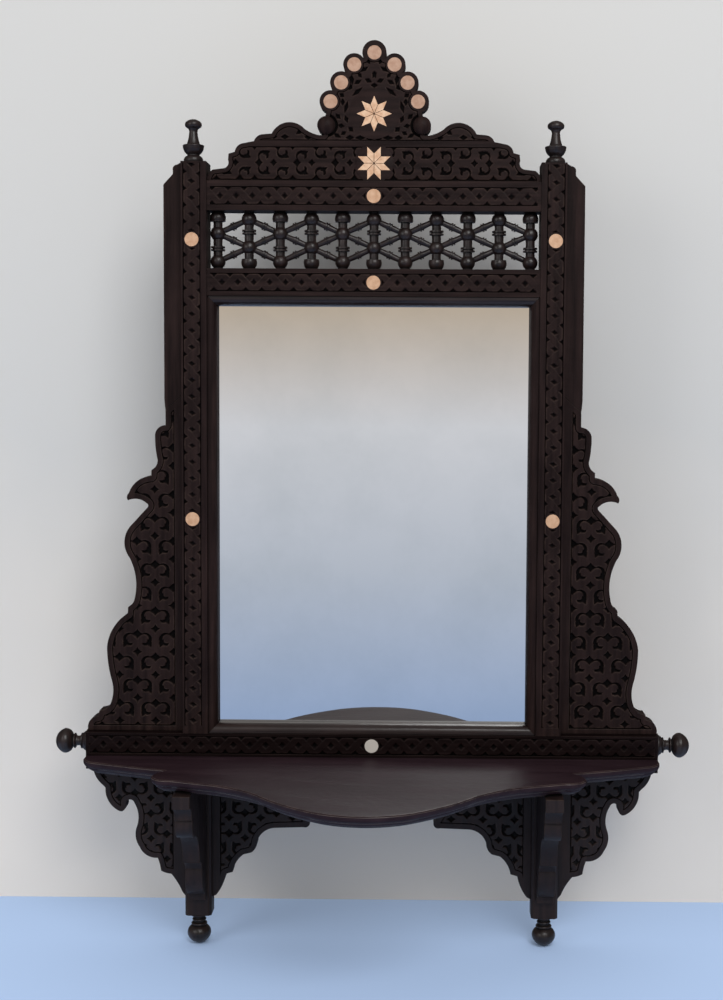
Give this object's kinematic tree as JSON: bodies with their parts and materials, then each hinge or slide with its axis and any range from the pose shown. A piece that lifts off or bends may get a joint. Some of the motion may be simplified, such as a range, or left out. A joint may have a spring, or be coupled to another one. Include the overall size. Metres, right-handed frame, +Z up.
{
  "type": "wall mirror with shelf",
  "caption": "Tall dark-wood wall mirror with an arched carved crest, turned lattice, carved side wings, bone inlays and a serpentine shelf on scrolled brackets.",
  "frame": {"origin": "on the wall plane, midway between the two keyhole hangers, at the height of their round entry holes", "axes": "+X to the viewer's right, +Y into the wall, +Z up; the front faces -Y"},
  "size_m": [0.714, 0.26, 1.0096],
  "materials": {
    "dark_wood": "satin dark stain, rubbed along the edges",
    "bone": "polished bone, mottled cream and peach",
    "mirror_glass": "silvered glass",
    "brass": "aged brass",
    "backboard": "plain thin board, unpolished"
  },
  "bodies": {
    "frame": {"apron_inner_left": "dark_wood", "apron_inner_right": "dark_wood", "apron_outer_left": "dark_wood", "apron_outer_right": "dark_wood", "backboard": "backboard", "bottom_rail": "dark_wood", "bracket_left": "dark_wood", "bracket_right": "dark_wood", "button_screws": "brass", "crest_board": "dark_wood", "crest_bosses": "dark_wood", "crest_discs": "bone", "edge_board_left": "dark_wood", "edge_board_right": "dark_wood", "finial_left": "dark_wood", "finial_right": "dark_wood", "frame_discs": "bone", "hanger_plate_left": "brass", "hanger_plate_right": "brass", "hanger_screws": "brass", "lattice_rungs_lower": "dark_wood", "lattice_rungs_middle": "dark_wood", "lattice_rungs_upper": "dark_wood", "lattice_spindle_01": "dark_wood", "lattice_spindle_02": "dark_wood", "lattice_spindle_03": "dark_wood", "lattice_spindle_04": "dark_wood", "lattice_spindle_05": "dark_wood", "lattice_spindle_06": "dark_wood", "lattice_spindle_07": "dark_wood", "lattice_spindle_08": "dark_wood", "lattice_spindle_09": "dark_wood", "lattice_spindle_10": "dark_wood", "lattice_spindle_11": "dark_wood", "middle_rail": "dark_wood", "mirror_glass": "mirror_glass", "pendant_left": "dark_wood", "pendant_right": "dark_wood", "post_left": "dark_wood", "post_right": "dark_wood", "rail_knob_left": "dark_wood", "rail_knob_right": "dark_wood", "shelf": "dark_wood", "sight_moulding_bottom": "dark_wood", "sight_moulding_left": "dark_wood", "sight_moulding_right": "dark_wood", "sight_moulding_top": "dark_wood", "star_lower": "bone", "star_upper": "bone", "stile_left": "dark_wood", "stile_right": "dark_wood", "top_rail": "dark_wood", "wing_left": "dark_wood", "wing_right": "dark_wood"},
    "button_upper_left": {"turn_button_upper_left": "brass"},
    "button_lower_left": {"turn_button_lower_left": "brass"},
    "button_upper_right": {"turn_button_upper_right": "brass"},
    "button_lower_right": {"turn_button_lower_right": "brass"},
    "button_top": {"turn_button_top": "brass"},
    "button_bottom": {"turn_button_bottom": "brass"}
  },
  "joints": [
    {"name": "button_upper_left_turn", "type": "hinge", "parent": "frame", "child": "button_upper_left", "pos_m": [-0.19, -0.0066, -0.17918], "axis": [0, 1, 0], "range_deg": [-90, 90]},
    {"name": "button_lower_left_turn", "type": "hinge", "parent": "frame", "child": "button_lower_left", "pos_m": [-0.19, -0.0066, -0.43082], "axis": [0, 1, 0], "range_deg": [-90, 90]},
    {"name": "button_upper_right_turn", "type": "hinge", "parent": "frame", "child": "button_upper_right", "pos_m": [0.19, -0.0066, -0.17918], "axis": [0, 1, 0], "range_deg": [-90, 90]},
    {"name": "button_lower_right_turn", "type": "hinge", "parent": "frame", "child": "button_lower_right", "pos_m": [0.19, -0.0066, -0.43082], "axis": [0, 1, 0], "range_deg": [-90, 90]},
    {"name": "button_top_turn", "type": "hinge", "parent": "frame", "child": "button_top", "pos_m": [0, -0.0066, -0.0545], "axis": [0, 1, 0], "range_deg": [-90, 90]},
    {"name": "button_bottom_turn", "type": "hinge", "parent": "frame", "child": "button_bottom", "pos_m": [0, -0.0066, -0.5555], "axis": [0, 1, 0], "range_deg": [-90, 90]}
  ]
}
